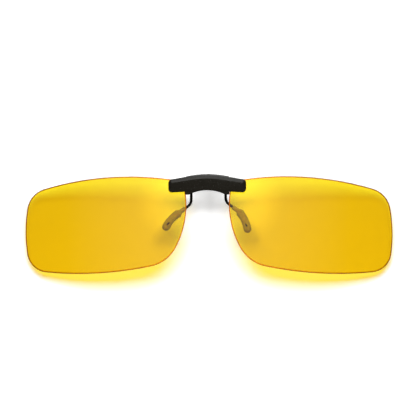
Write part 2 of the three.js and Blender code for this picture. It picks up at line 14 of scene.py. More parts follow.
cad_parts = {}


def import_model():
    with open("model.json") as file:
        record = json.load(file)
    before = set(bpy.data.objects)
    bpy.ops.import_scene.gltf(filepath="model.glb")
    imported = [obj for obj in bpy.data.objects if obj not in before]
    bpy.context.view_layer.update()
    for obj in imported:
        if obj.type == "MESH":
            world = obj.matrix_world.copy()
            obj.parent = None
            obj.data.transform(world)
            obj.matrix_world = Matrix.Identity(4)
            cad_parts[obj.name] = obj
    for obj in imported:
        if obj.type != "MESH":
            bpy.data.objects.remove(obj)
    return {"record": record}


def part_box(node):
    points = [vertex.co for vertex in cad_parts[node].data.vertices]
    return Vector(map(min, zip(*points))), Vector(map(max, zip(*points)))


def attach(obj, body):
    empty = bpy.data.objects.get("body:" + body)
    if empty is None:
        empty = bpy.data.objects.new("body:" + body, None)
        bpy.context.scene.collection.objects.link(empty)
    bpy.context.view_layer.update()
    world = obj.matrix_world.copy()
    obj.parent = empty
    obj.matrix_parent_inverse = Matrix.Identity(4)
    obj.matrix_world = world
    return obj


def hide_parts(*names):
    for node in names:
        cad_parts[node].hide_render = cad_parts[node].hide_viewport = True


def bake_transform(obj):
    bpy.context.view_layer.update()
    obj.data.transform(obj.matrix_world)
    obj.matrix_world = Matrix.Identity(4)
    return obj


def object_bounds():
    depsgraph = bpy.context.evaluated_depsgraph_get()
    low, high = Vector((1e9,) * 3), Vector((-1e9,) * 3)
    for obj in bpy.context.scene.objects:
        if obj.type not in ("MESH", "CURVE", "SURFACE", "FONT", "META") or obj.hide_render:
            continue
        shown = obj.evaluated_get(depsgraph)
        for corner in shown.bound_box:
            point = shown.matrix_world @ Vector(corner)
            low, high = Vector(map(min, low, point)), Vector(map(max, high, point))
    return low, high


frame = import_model()
CAD_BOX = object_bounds()

MM = 0.001
SIDES = {"left": -1, "right": 1}

# Fine arcs: furthest that a facet may stray from its arc.
STRAY = 0.0012 * MM
FEWEST_FACETS = 3

# Rounding and shading; the angles are in degrees
EDGE_ROUND = 0.07 * MM
BLOCK_ROUND = 0.09 * MM
ROUND_FROM = 35
SHARP_FROM = 32
SHARP_FROM_ROUND = 50
SHARP_FROM_SOFT = 40
FLAT_WITHIN = 0.6

# Cutters and blanks
BEYOND = 9 * MM
MARGIN = 1 * MM
LAYER_STEPS = 28

# Lenses, as in the CAD model
LENS_CURVE = 135 * MM
LENS_THICK = 1.1 * MM
LENS_POLE = Vector((27.4, -4.6, -15.5)) * MM
LENS_CORNERS = [(8.7, 0.4), (64, -4.5), (64.5, -32.5), (15.4, -29)]
LENS_EDGE_RADII = [99, 55, 147, 32.5]
LENS_CORNER_RADII = [3.5, 9.2, 7.2, 13.3]
LENS_RINGS = 26
LENS_RIM_BEVEL = 0.34 * MM
LENS_RIM_EASE = 0.3

# Bridge bar, as in the CAD model
BAR_LOW, BAR_HIGH = (Vector(corner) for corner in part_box("bridge_bar"))
BAR_FRONT = BAR_LOW.y
BAR_REAR = -0.9 * MM
BAR_HALF = BAR_HIGH.x
BAR_TOP = BAR_HIGH.z
BAR_CROWN_RADIUS = 34 * MM
BAR_SLOPE = math.radians(8.75)
BAR_TOP_CHAMFER = 1.1 * MM
BAR_EDGE_CHAMFER = 0.2 * MM
# The rounded chamfer as (share inwards, share back), from the wall to the front face
BAR_CHAMFER_PROFILE = [
    (0, 1.25),
    (0, 1.1),
    (0.03, 0.99),
    (0.09, 0.91),
    (0.5, 0.5),
    (0.9, 0.1),
    (0.98, 0.035),
    (1.08, 0.0),
]
BAR_ARCH_HALF = 6.5 * MM
BAR_ARCH_FOOT = -4 * MM
BAR_ARCH_RADIUS = 14.2 * MM
BAR_ARCH_CORNER = 0.25 * MM
CORE_HALF = 7.6 * MM
TAB_INNER = 7.9 * MM
TAB_INNER_FOOT = -2.95 * MM
TAB_OUTER_FOOT = -3.3 * MM
TAB_CORNER = 1.3 * MM
TAB_INNER_CORNER = 0.1 * MM
SEAT_REACH = 20 * MM
SEAT_HALF_HEIGHT = 8 * MM
SEAT_DEPTH = 12 * MM

# Clamps
SLIP = 0.05 * MM
GASKET_THICK = 0.3 * MM
CLAMP_CORNER = 0.8 * MM
BLOCK_FRONT = -6 * MM
BLOCK_DEPTH = 8 * MM
SCREW_SPOTS = {"inner": (10 * MM, -1.5 * MM), "outer": (12.1 * MM, -0.5 * MM)}
SCREW_SHANK = 0.5 * MM
SCREW_HEAD = 0.85 * MM
SCREW_TOP = -0.15 * MM
SCREW_HEAD_THICK = 0.55 * MM
SCREW_TIP = -4.3 * MM
SCREW_CLEARANCE = 0.08 * MM
SCREW_HOLE_END = 2 * MM
SCREW_POINT_RADIUS = 0.25 * MM
SCREW_POINT_LENGTH = 0.5 * MM
SCREW_EDGE = 0.06 * MM
SCREW_DOME = 0.16 * MM
SCREW_DOME_PULL = 1.6
SCREW_DOME_STEPS = 6
SCREW_CROWN = 0.01 * MM
SCREW_SIDES = 40
RECESS_ARM = 0.5 * MM
RECESS_HALF = 0.1 * MM
RECESS_DEPTH = 0.3 * MM
RECESS_TURN = 0.4

# Hinge
PIN = Vector(frame["record"]["behaviour"]["joints"][0]["pos_m"])
PIN_LOW, PIN_HIGH = (Vector(corner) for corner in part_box("hinge_pin"))
PIN_RADIUS = (PIN_HIGH.z - PIN_LOW.z) / 2
EAR_NEAR = 3.5 * MM
EAR_FAR = 4.85 * MM
LUG_RADIUS = 1.35 * MM
OPEN_ANGLE = math.radians(35)
STOP_LOW = 1.9 * MM
STOP_HIGH = 3 * MM
STOP_GAP = 0.06 * MM
EAR_ROOT = 0.5 * MM
EAR_STEPS = 28
PIN_SIDES = 40
PIN_BORE_SIDES = 56
PIN_DOME = 0.18 * MM
PIN_DOME_STEPS = 5
PRESS_GAP = 0.02 * MM
TURNING_GAP = 0.06 * MM

# Lever
LEVER_LOW, LEVER_HIGH = (Vector(corner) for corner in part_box("clip_lever"))
LEVER_HALF = LEVER_HIGH.x
LEVER_FRONT = 3.1 * MM
LEVER_REAR = 4.75 * MM
LEVER_FOOT = LEVER_LOW.z
LEVER_SHOULDER = 0.5 * MM
LEVER_TAB_HALF = 5 * MM
LEVER_TAB_TOP = 1.6 * MM
LEVER_LEAN = 0.6 * MM
KNUCKLE_NEAR = 4.95 * MM
LEVER_FOOT_FRONT_ROUND = 0.3 * MM
LEVER_FOOT_REAR_ROUND = 0.5 * MM
LEVER_TOP_FRONT_ROUND = 0.4 * MM
LEVER_TOP_REAR_ROUND = 0.35 * MM
RIB_COUNT = 4
RIB_PITCH = 0.75 * MM
RIB_LOWEST = -1.9 * MM
RIB_HEIGHT = 0.25 * MM
RIB_ROUND = 0.06 * MM
RIB_SHARES = (0.75, 0.5, 0.25)
LEVER_ARCH_HALF = 4.3 * MM
LEVER_ARCH_TOP = -2.4 * MM
LEVER_ARCH_FOOT = 4.8 * MM
LEVER_ARCH_ROUND = 0.4 * MM
LEVER_FOOT_ROUND = 0.5 * MM
LEVER_SHOULDER_ROUND = 0.8 * MM
LEVER_WAIST_ROUND = 0.3 * MM
LEVER_TAB_ROUND = 0.6 * MM
LEVER_CROWN_DROP = 0.4 * MM
LEVER_CROWN_RISE = 0.1 * MM
LEVER_CROWN_RADIUS = 20 * MM
POCKET_REAR = 3.85 * MM
POCKET_FOOT = -6 * MM
POCKET_TOP = 0.2 * MM
WEB_OVERLAP = 0.4 * MM
HEEL_FOOT = -3.6 * MM
HEEL_TOP = -2.3 * MM
SOCKET_HEADROOM = 0.1 * MM
SOCKET_SIDES = 40

# Spring
SPRING_WIRE = 0.25 * MM
SPRING_COIL = 1.1 * MM
SPRING_HALF = 2.1 * MM
SPRING_TURNS = 7
SPRING_TURN_STEPS = 36
SPRING_LEG_STEPS = 12
SPRING_SIDES = 18
BAR_LEG_END = (BAR_REAR + SPRING_WIRE + SLIP, 1.4 * MM)
LEVER_LEG_END = (2.4 * MM, 1.3 * MM)

# Wires and pads
WIRE_RADIUS = 0.5 * MM
WIRE_X = 6.2 * MM
WIRE_Y = 3.75 * MM
WIRE_TOP = -0.4 * MM
WIRE_BEND = 1.5 * MM
WIRE_TOP_STEPS = 12
WIRE_BEND_STEPS = 14
WIRE_REACH_STEPS = 8
WIRE_PAD_STEPS = 24
WIRE_SMOOTHING = 6
WIRE_SIDES = 28
WIRE_TIP_STEPS = 5
WIRE_TIP_FLATNESS = 0.6
PAD_RADIUS = 1.45 * MM
PAD_LENGTH = 6.8 * MM
PAD_BOW = 0.5 * MM
PAD_SHOULDER = 0.7 * MM
NECK_RADIUS = 0.8 * MM
NECK_LENGTH = 2.6 * MM
PAD_WIRE_END = 1 * MM
PAD_BORE = WIRE_RADIUS + 0.06 * MM
PAD_BORE_BEYOND = 0.5 * MM
PAD_WAIST = 0.06
PAD_SIDES = 36
PAD_BORE_STEPS = 18
PAD_LIP_STEPS = 8
PAD_NECK_STEPS = 8
PAD_SHOULDER_STEPS = 12
PAD_WALL_STEPS = 24
PAD_WALL_FIRST = 3
PAD_TIP_STEPS = 10
PAD_TANGENT_STEP = 0.5 * MM
WINDOW_FROM_WIRE = 0.35 * MM
WINDOW_HALF_LENGTH = 0.75 * MM
WINDOW_HALF_WIDTH = 0.32 * MM
WINDOW_STEPS = 28
WINDOW_FRONT = 3 * MM
WINDOW_FLOOR = 0.1 * MM
PAD_Y = -0.2 * MM
PAD_ENTRY_Y = 1 * MM
REACH = {
    "left": {"bend_z": -8.5 * MM, "entry": (10.3 * MM, -11.3 * MM), "tilt": math.radians(46)},
    "right": {"bend_z": -7.8 * MM, "entry": (11 * MM, -10.9 * MM), "tilt": math.radians(63)},
}


# --- outlines in two dimensions ---


def facets(radius, turn):
    """How many straight facets an arc needs."""
    return max(FEWEST_FACETS, math.ceil(abs(turn) / (2 * math.acos(1 - STRAY / radius))))


def circle_points(centre, radius, start, end, steps):
    points = []
    for i in range(steps):
        angle = start + (end - start) * i / steps
        points.append(Vector((centre[0] + radius * math.cos(angle), centre[1] + radius * math.sin(angle))))
    return points


def clockwise_arc(centre, radius, start, end):
    """Points of an arc, without its last one."""
    first = math.atan2(start[1] - centre[1], start[0] - centre[0])
    last = math.atan2(end[1] - centre[1], end[0] - centre[0])
    if last > first:
        last -= math.tau
    return circle_points(centre, radius, first, last, facets(radius, last - first))


def arc_centre(p, q, radius):
    """Centre of the circle of this radius through two points, on the right of the way from p to q."""
    p, q = Vector(p), Vector(q)
    way = q - p
    away = math.sqrt(radius**2 - way.length_squared / 4) / way.length
    return (p + q) / 2 + Vector((way.y, -way.x)) * away


def fillet_centre(a, radius_a, b, radius_b, fillet, corner):
    """Centre of the small circle that touches two circles from inside, next to a corner."""
    way = b - a
    reach = radius_a - fillet
    along = (reach**2 - (radius_b - fillet) ** 2 + way.length_squared) / (2 * way.length)
    across = math.sqrt(reach**2 - along**2)
    unit = way.normalized()
    normal = Vector((-unit.y, unit.x))
    choices = [a + unit * along + normal * across * sign for sign in (1, -1)]
    return min(choices, key=lambda point: (point - Vector(corner)).length)


def lens_outline():
    """The right lens's outline in x, z: arcs between the corners, joined by tangent corner arcs."""
    corners = [Vector(corner) * MM for corner in LENS_CORNERS]
    radii = [radius * MM for radius in LENS_EDGE_RADII]
    rounds = [radius * MM for radius in LENS_CORNER_RADII]
    count = len(corners)
    centres = [arc_centre(corners[i], corners[(i + 1) % count], radii[i]) for i in range(count)]
    fillets = []
    for i, corner in enumerate(corners):
        before = centres[i - 1]
        centre = fillet_centre(before, radii[i - 1], centres[i], radii[i], rounds[i], corner)
        start = before + (centre - before) * radii[i - 1] / (radii[i - 1] - rounds[i])
        end = centres[i] + (centre - centres[i]) * radii[i] / (radii[i] - rounds[i])
        fillets.append((centre, start, end))
    points = []
    for i, (centre, start, end) in enumerate(fillets):
        points += clockwise_arc(centre, rounds[i], start, end)
        points += clockwise_arc(centres[i], radii[i], end, fillets[(i + 1) % count][1])
    return points


def rounded_polygon(corners):
    """A polygon of (x, y, corner radius) with its corners rounded."""
    points = []
    for i, (x, y, radius) in enumerate(corners):
        here = Vector((x, y))
        if not radius:
            points.append(here)
            continue
        back = (Vector(corners[i - 1][:2]) - here).normalized()
        on = (Vector(corners[(i + 1) % len(corners)][:2]) - here).normalized()
        half = back.angle(on) / 2
        centre = here + (back + on).normalized() * radius / math.sin(half)
        start = here + back * radius / math.tan(half) - centre
        end = here + on * radius / math.tan(half) - centre
        turn = math.copysign(math.pi - 2 * half, start.cross(end))
        steps = facets(radius, turn)
        for step in range(steps + 1):
            spin = Matrix.Rotation(turn * step / steps, 2)
            points.append(centre + spin @ start)
    return points


def rectangle(x0, x1, y0, y1, radius=0):
    return rounded_polygon([(x0, y0, radius), (x1, y0, radius), (x1, y1, radius), (x0, y1, radius)])


def on_side(side, near, far):
    """The two x limits of a stretch given by its distances from the mid-plane, lowest first."""
    return min(side * near, side * far), max(side * near, side * far)


# --- meshes ---


def new_object(name, mesh):
    obj = bpy.data.objects.new(name, mesh)
    bpy.context.scene.collection.objects.link(obj)
    return obj


def mesh_object(name, vertices, faces):
    """A closed mesh with its faces turned outwards."""
    mesh = bpy.data.meshes.new(name)
    mesh.from_pydata(vertices, [], faces)
    tidy = bmesh.new()
    tidy.from_mesh(mesh)
    bmesh.ops.recalc_face_normals(tidy, faces=tidy.faces)
    tidy.to_mesh(mesh)
    tidy.free()
    return new_object(name, mesh)


def loft(name, rings):
    """A closed mesh through rings of equal length; a ring of one point is a pole, others get a flat cap."""
    vertices = []
    faces = []
    starts = []
    for ring in rings:
        starts.append(len(vertices))
        vertices += ring
    for i in range(len(rings) - 1):
        a, b = starts[i], starts[i + 1]
        count = max(len(rings[i]), len(rings[i + 1]))
        for k in range(count):
            n = (k + 1) % count
            if len(rings[i]) == 1:
                faces.append((a, b + n, b + k))
            elif len(rings[i + 1]) == 1:
                faces.append((a + k, a + n, b))
            else:
                faces.append((a + k, a + n, b + n, b + k))
    for ring, start in ((rings[0], starts[0]), (rings[-1], starts[-1])):
        if len(ring) > 1:
            faces.append(tuple(range(start, start + len(ring))))
    return mesh_object(name, vertices, faces)


def prism_y(name, outline, y0, y1):
    return loft(name, [[Vector((p.x, y, p.y)) for p in outline] for y in (y0, y1)])


def prism_x(name, outline, x0, x1):
    return loft(name, [[Vector((x, p.x, p.y)) for p in outline] for x in (x0, x1)])


def rod_y(name, radius, x, z, y0, y1):
    return prism_y(name, circle_points((x, z), radius, 0, math.tau, SCREW_SIDES), y0, y1)


def rod_x(name, radius, x0, x1):
    """A round bar about the hinge line."""
    return prism_x(name, circle_points((PIN.y, PIN.z), radius, 0, math.tau, PIN_BORE_SIDES), x0, x1)


def bake_modifiers(obj):
    depsgraph = bpy.context.evaluated_depsgraph_get()
    mesh = bpy.data.meshes.new_from_object(obj.evaluated_get(depsgraph))
    old = obj.data
    obj.modifiers.clear()
    obj.data = mesh
    mesh.name = obj.name
    bpy.data.meshes.remove(old)


def combine(obj, other, operation):
    """obj joined with, cut by or limited to another object, which is used up."""
    modifier = obj.modifiers.new(operation, "BOOLEAN")
    modifier.operation = operation
    modifier.solver = "MANIFOLD"
    modifier.object = other
    bake_modifiers(obj)
    bpy.data.meshes.remove(other.data)
    return obj


def soften_edges(obj, width, segments):
    """Small rounds along the edges that are sharper than an angle."""
    modifier = obj.modifiers.new("round", "BEVEL")
    modifier.width = width
    modifier.segments = segments
    modifier.limit_method = "ANGLE"
    modifier.angle_limit = math.radians(ROUND_FROM)
    bake_modifiers(obj)


def limited_dissolve(obj):
    """Joins the flat triangles that cutting leaves behind."""
    tidy = bmesh.new()
    tidy.from_mesh(obj.data)
    limit = math.radians(FLAT_WITHIN)
    bmesh.ops.dissolve_limit(tidy, angle_limit=limit, verts=tidy.verts, edges=tidy.edges)
    tidy.to_mesh(obj.data)
    tidy.free()


def smooth(obj, angle=SHARP_FROM):
    for polygon in obj.data.polygons:
        polygon.use_smooth = True
    obj.data.set_sharp_from_angle(angle=math.radians(angle))


def ring_about(point, u, v, radius, sides):
    """A circle of points in the plane of u and v, or the centre alone where the radius is 0."""
    if radius == 0:
        return [point]
    turns = [math.tau * k / sides for k in range(sides)]
    return [point + (u * math.cos(turn) + v * math.sin(turn)) * radius for turn in turns]


def sweep(name, points, radii, sides):
    """A round bar along points; a radius of 0 closes it in a pole."""
    tangents = []
    for i in range(len(points)):
        ahead = points[min(i + 1, len(points) - 1)]
        behind = points[max(i - 1, 0)]
        if ahead == behind:
            ahead = points[i + 2] if i == 0 else points[i]
            behind = points[i] if i == 0 else points[i - 2]
        tangents.append((ahead - behind).normalized())
    normal = tangents[0].orthogonal().normalized()
    rings = []
    for i, (point, radius) in enumerate(zip(points, radii)):
        if i:
            turn = tangents[i - 1].rotation_difference(tangents[i])
            normal = turn @ normal
        across = tangents[i].cross(normal).normalized()
        rings.append(ring_about(point, normal, across, radius, sides))
    return loft(name, rings)


# --- materials ---


class Nodes:
    """The node tree of a new material or world, with short calls to add nodes."""

    def __init__(self, owner, output="ShaderNodeOutputMaterial", place="Object"):
        self.owner = owner
        owner.use_nodes = True
        owner.node_tree.nodes.clear()
        self.output = self.add(output)
        self.place = self.add("ShaderNodeTexCoord").outputs[place]

    def add(self, kind, *values, **settings):
        """A new node; the values go to its first inputs, in order."""
        node = self.owner.node_tree.nodes.new(kind)
        for key, value in settings.items():
            setattr(node, key, value)
        for value, socket in zip(values, node.inputs):
            self.feed(value, socket)
        return node

    def feed(self, value, socket):
        """Joins another node's output to an input, or sets the input to a plain value."""
        if isinstance(value, bpy.types.NodeSocket):
            self.owner.node_tree.links.new(value, socket)
        else:
            socket.default_value = value

    def noise(self, scale, detail=2.0, roughness=0.5, stretch=None):
        place = self.place
        if stretch:
            mapping = self.add("ShaderNodeMapping", place)
            mapping.inputs["Scale"].default_value = stretch
            place = mapping.outputs["Vector"]
        node = self.add("ShaderNodeTexNoise", place)
        node.inputs["Scale"].default_value = scale
        node.inputs["Detail"].default_value = detail
        node.inputs["Roughness"].default_value = roughness
        return node.outputs["Fac"]

    def ramp(self, source, stops):
        """A ramp of greys or colours, from (position, value) stops."""
        node = self.add("ShaderNodeValToRGB", source)
        elements = node.color_ramp.elements
        while len(elements) < len(stops):
            elements.new(0.5)
        for element, (position, value) in zip(elements, stops):
            element.position = position
            colour = value if isinstance(value, tuple) else (value, value, value)
            element.color = (*colour, 1)
        return node.outputs["Color"]

    def bump(self, height, strength, distance):
        node = self.add("ShaderNodeBump")
        node.inputs["Strength"].default_value = strength
        node.inputs["Distance"].default_value = distance
        self.feed(height, node.inputs["Height"])
        return node.outputs["Normal"]

    def off_centre(self, reach):
        """How far a point lies to either side of the nose, as a share of a reach."""
        axes = self.add("ShaderNodeSeparateXYZ", self.place)
        aside = self.add("ShaderNodeMath", axes.outputs["X"], operation="ABSOLUTE")
        return self.add("ShaderNodeMath", aside.outputs[0], reach, operation="DIVIDE").outputs[0]

    def principled(self, **values):
        node = self.add("ShaderNodeBsdfPrincipled")
        for key, value in values.items():
            self.feed(value, node.inputs[key.replace("_", " ")])
        return node

    def blend(self, share, first, second):
        """A mix of two shaders: the first where the share is 0, the second where it is 1."""
        return self.add("ShaderNodeMixShader", share, first.outputs[0], second.outputs[0])

    def finish(self, shader):
        self.feed(shader.outputs[0], self.output.inputs["Surface"])
        return self.owner


# Scales of the noise, in cells per metre
FLOW_CLOUDS = 320
SCUFFS = 1400
MOULDED_SHEEN = 900
MOULDED_GRAIN = 6500
METAL_BLOTCHES = 1200
METAL_SHEEN = 2600
METAL_LINES = 3000
SILICONE_DUST = 1100
SILICONE_SHEEN = 800
SILICONE_GRAIN = 5200
LENS_STREAKS = 160

# What each face of a lens lets through; light that crosses the lens is tinted twice.
LENS_TINT = (0.953, 0.828, 0.12)
LENS_HAZE = (0.6, 0.58, 0.95)
LENS_HAZE_SHARE = 0.03
# Painted glow on the lenses: the scatter's colour is brightest near the nose and fades over this reach, down
# to its cube times the share left.
PAINTED_GLOW_REACH = 60 * MM
HAZE_LEFT_PAST_PAINTED_GLOW = 0.05
COAT_TINT = (0.9, 1, 0.6)
COAT_MIRROR = [(0, 0.04), (0.5, 0.07), (0.8, 0.3), (1, 1.0)]
RIM_TINT = (0.86, 0.42, 0.03)
RIM_BODY = (0.95, 0.3, 0.005)


def shade(colour, factor):
    return tuple(value * factor for value in colour)


def moulded_black(name, base, grain, rough):
    """Black moulded nylon: spark-eroded grain, faint flow clouds and edges rubbed paler."""
    made = Nodes(bpy.data.materials.new(name))
    edges = made.add("ShaderNodeNewGeometry").outputs["Pointiness"]
    wear = made.ramp(edges, [(0.53, 0.0), (0.66, 1.0)])
    scuffs = made.ramp(made.noise(SCUFFS, detail=4, roughness=0.7), [(0.45, 0.0), (0.7, 1.0)])
    worn = made.add("ShaderNodeMath", wear, scuffs, operation="MULTIPLY")
    clouds = made.noise(FLOW_CLOUDS, detail=4)
    colour = made.add("ShaderNodeMix", data_type="RGBA")
    made.feed(worn.outputs[0], colour.inputs["Factor"])
    made.feed(made.ramp(clouds, [(0.3, shade(base, 0.93)), (0.7, shade(base, 1.07))]), colour.inputs["A"])
    colour.inputs["B"].default_value = (*(c * 2 + 0.006 for c in base), 1)
    sheen = made.noise(MOULDED_SHEEN, detail=2)
    return made.finish(made.principled(
        IOR=1.5,
        Specular_IOR_Level=0.3,
        Base_Color=colour.outputs["Result"],
        Roughness=made.ramp(sheen, [(0.3, rough - 0.05), (0.7, rough + 0.06)]),
        Normal=made.bump(made.noise(MOULDED_GRAIN, detail=2), grain, 0.02 * MM),
    ))


def drawn_metal(name, base, rough, metallic, lines):
    """Drawn wire or turned steel: fine lines along the piece, and blotches of roughness."""
    made = Nodes(bpy.data.materials.new(name))
    blotches = made.noise(METAL_BLOTCHES, detail=4)
    sheen = made.noise(METAL_SHEEN, detail=3)
    scratches = made.noise(METAL_LINES, detail=2, stretch=lines)
    return made.finish(made.principled(
        Metallic=metallic,
        Base_Color=made.ramp(blotches, [(0.3, shade(base, 0.8)), (0.7, base)]),
        Roughness=made.ramp(sheen, [(0.3, rough - 0.07), (0.7, rough + 0.08)]),
        Normal=made.bump(scratches, 0.25, 0.01 * MM),
    ))


def silicone(name, base):
    """Grey, slightly see-through silicone with a dusty bloom."""
    made = Nodes(bpy.data.materials.new(name))
    dust = made.noise(SILICONE_DUST, detail=5, roughness=0.65)
    return made.finish(made.principled(
        IOR=1.41,
        Subsurface_Weight=0.25,
        Subsurface_Scale=0.6 * MM,
        Sheen_Weight=0.2,
        Base_Color=made.ramp(dust, [(0.4, base), (0.75, shade(base, 1.5))]),
        Roughness=made.ramp(made.noise(SILICONE_SHEEN), [(0.3, 0.42), (0.7, 0.56)]),
        Normal=made.bump(made.noise(SILICONE_GRAIN, detail=3), 0.25, 0.012 * MM),
    ))


def tinted(name, tint, haze, haze_share, through_share):
    """Coated, tinted polycarbonate: a clear tint, a little scatter whose colour is painted brighter near the
    nose and fainter outwards as a painted glow, and a greenish gloss.
    """
    made = Nodes(bpy.data.materials.new(name))
    clear = made.add("ShaderNodeBsdfTransparent", (*tint, 1))
    haze_past_painted_glow = tuple(c ** 3 * HAZE_LEFT_PAST_PAINTED_GLOW for c in haze)
    # Painted glow: the scatter's colour is brightest near the nose and fades outwards.
    haze_with_painted_glow = made.ramp(made.off_centre(PAINTED_GLOW_REACH), [(0.1, haze), (0.85, haze_past_painted_glow)])
    front = made.add("ShaderNodeBsdfDiffuse", haze_with_painted_glow)
    through = made.add("ShaderNodeBsdfTranslucent", haze_with_painted_glow)
    body = made.blend(haze_share, clear, made.blend(through_share, front, through))
    streaks = made.noise(LENS_STREAKS, detail=4, roughness=0.6, stretch=(1, 1, 1.6))
    polish = made.ramp(streaks, [(0.35, 0.03), (0.75, 0.09)])
    gloss = made.add("ShaderNodeBsdfGlossy", (*COAT_TINT, 1), polish)
    slant = made.add("ShaderNodeLayerWeight").outputs["Facing"]
    return made.finish(made.blend(made.ramp(slant, COAT_MIRROR), body, gloss))


MATERIALS = {
    "black_plastic": moulded_black("black_plastic", (0.0085, 0.0075, 0.0055), 0.3, 0.3),
    "black_block": moulded_black("black_block", (0.007, 0.0068, 0.006), 0.25, 0.32),
    "black_wire": drawn_metal("black_wire", (0.003, 0.003, 0.0026), 0.36, 0.0, (1, 1, 0.15)),
    "steel": drawn_metal("steel", (0.6, 0.6, 0.61), 0.28, 1.0, (0.15, 1, 1)),
    "screw_steel": drawn_metal("screw_steel", (0.5, 0.5, 0.51), 0.3, 1.0, (1, 0.2, 1)),
    "silicone": silicone("silicone", (0.3, 0.29, 0.28)),
    "lens": tinted("lens", LENS_TINT, LENS_HAZE, LENS_HAZE_SHARE, 0.1),
    "lens_rim": tinted("lens_rim", RIM_TINT, RIM_BODY, 0.4, 0.4),
}


def dress(obj, node, body, slot_name, *materials, moves=True):
    """Puts a finished piece on its body, in place of its CAD node."""
    obj.name = f"{node}_fine"
    if obj.data.materials:
        obj.data.materials.clear()
    for name in materials:
        obj.data.materials.append(MATERIALS[name])
    if moves:
        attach(obj, body)
    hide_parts(node)


# --- lenses and clamps ---


def sphere_y(x, z, side, depth):
    """y of the surface that lies a depth under the lens's front surface."""
    flat = (x - side * LENS_POLE.x) ** 2 + (z - LENS_POLE.z) ** 2
    return LENS_POLE.y + LENS_CURVE - math.sqrt((LENS_CURVE - depth) ** 2 - flat)


def inset(outline, distance):
    """The outline moved inwards; the outline runs clockwise."""
    moved = []
    for i, point in enumerate(outline):
        way = (outline[(i + 1) % len(outline)] - outline[i - 1]).normalized()
        moved.append(point + Vector((way.y, -way.x)) * distance)
    return moved


def lens_ring(outline, side, depth, drop=0):
    return [Vector((side * p.x, sphere_y(side * p.x, p.y, side, depth) + drop, p.y)) for p in outline]


def lens(label, side):
    """A curved lens; its bevelled rim has a material of its own."""
    outline = lens_outline()
    inner = inset(outline, LENS_RIM_BEVEL)
    ease = LENS_RIM_BEVEL * LENS_RIM_EASE
    soft = inset(outline, ease)
    middle = sum(outline, Vector((0, 0))) / len(outline)
    shares = [i / LENS_RINGS for i in range(1, LENS_RINGS)]
    face = [[middle], *([middle.lerp(p, share) for p in inner] for share in shares)]
    rim = [
        (inner, 0, 0),
        (soft, 0, ease),
        (outline, 0, LENS_RIM_BEVEL),
        (outline, LENS_THICK, -LENS_RIM_BEVEL),
        (soft, LENS_THICK, -ease),
        (inner, LENS_THICK, 0),
    ]
    rings = [lens_ring(ring, side, 0) for ring in face]
    rings += [lens_ring(ring, side, depth, drop) for ring, depth, drop in rim]
    rings += [lens_ring(ring, side, LENS_THICK) for ring in reversed(face)]
    obj = loft(f"lens_{label}", rings)
    count = len(outline)
    rim_first = count * len(face)
    for index in range(rim_first, rim_first + count * (len(rim) - 1)):
        obj.data.polygons[index].material_index = 1
    smooth(obj, SHARP_FROM_ROUND)
    dress(obj, f"lens_{label}", "front", "lens", "lens", "lens_rim")


def lens_layer(name, side, x0, x1, z0, z1, near, far):
    """A block in x and z between two depths under the lens's front surface."""
    steps = LAYER_STEPS
    row = steps + 1
    layer = row * row
    xs = [x0 + (x1 - x0) * i / steps for i in range(row)]
    zs = [z0 + (z1 - z0) * k / steps for k in range(row)]
    spots = [(x, z, depth) for depth in (near, far) for x in xs for z in zs]
    vertices = [Vector((x, sphere_y(x, z, side, depth), z)) for x, z, depth in spots]
    faces = []
    for i in range(steps):
        for k in range(steps):
            a = i * row + k
            faces.append((a, a + 1, a + row + 1, a + row))
            faces.append((layer + a, layer + a + row, layer + a + row + 1, layer + a + 1))
    for k in range(steps):
        for a, b in (
            (k, k + 1),
            (steps * row + k + 1, steps * row + k),
            ((k + 1) * row, k * row),
            (k * row + steps, (k + 1) * row + steps),
        ):
            faces.append((a, b, layer + b, layer + a))
    return mesh_object(name, vertices, faces)


def clamp_box(label):
    """x and z limits of a clamp, which its gasket and block share."""
    low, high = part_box(f"clamp_block_{label}")
    return low[0], high[0], low[2], high[2]


def clamp_layer(name, label, side, near, far, y0, y1):
    """A layer of the clamp between two depths under the lens's front, with the clamp's rounded outline."""
    x0, x1, z0, z1 = clamp_box(label)
    obj = lens_layer(name, side, x0 - MARGIN, x1 + MARGIN, z0 - MARGIN, z1 + MARGIN, near, far)
    return combine(obj, prism_y("outline", rectangle(x0, x1, z0, z1, CLAMP_CORNER), y0, y1), "INTERSECT")


def cut_screw_holes(obj, side, radius, y0, y1):
    for x, z in SCREW_SPOTS.values():
        combine(obj, rod_y("hole", radius, side * x, z, y0, y1), "DIFFERENCE")


def gasket(label, side):
    """A thin soft strip between the bar and the lens's front."""
    obj = clamp_layer(f"gasket_{label}", label, side, -SLIP - GASKET_THICK, -SLIP, -BEYOND, BEYOND)
    cut_screw_holes(obj, side, SCREW_SHANK + SCREW_CLEARANCE, -BEYOND, BEYOND)
    smooth(obj)
    dress(obj, f"gasket_{label}", "front", "silicone", "silicone")


def clamp_block(label, side):
    """The block behind a lens, with seats for the screw heads."""
    name = f"clamp_block_{label}"
    obj = clamp_layer(name, label, side, LENS_THICK + SLIP, BLOCK_DEPTH, BLOCK_FRONT, 0)
    cut_screw_holes(obj, side, SCREW_SHANK + SCREW_CLEARANCE, -BEYOND, BEYOND)
    seat = SCREW_TOP - SCREW_HEAD_THICK - SLIP
    cut_screw_holes(obj, side, SCREW_HEAD + SCREW_CLEARANCE, seat, BEYOND)
    limited_dissolve(obj)
    soften_edges(obj, BLOCK_ROUND, segments=3)
    smooth(obj)
    dress(obj, name, "front", "black_plastic", "black_block")


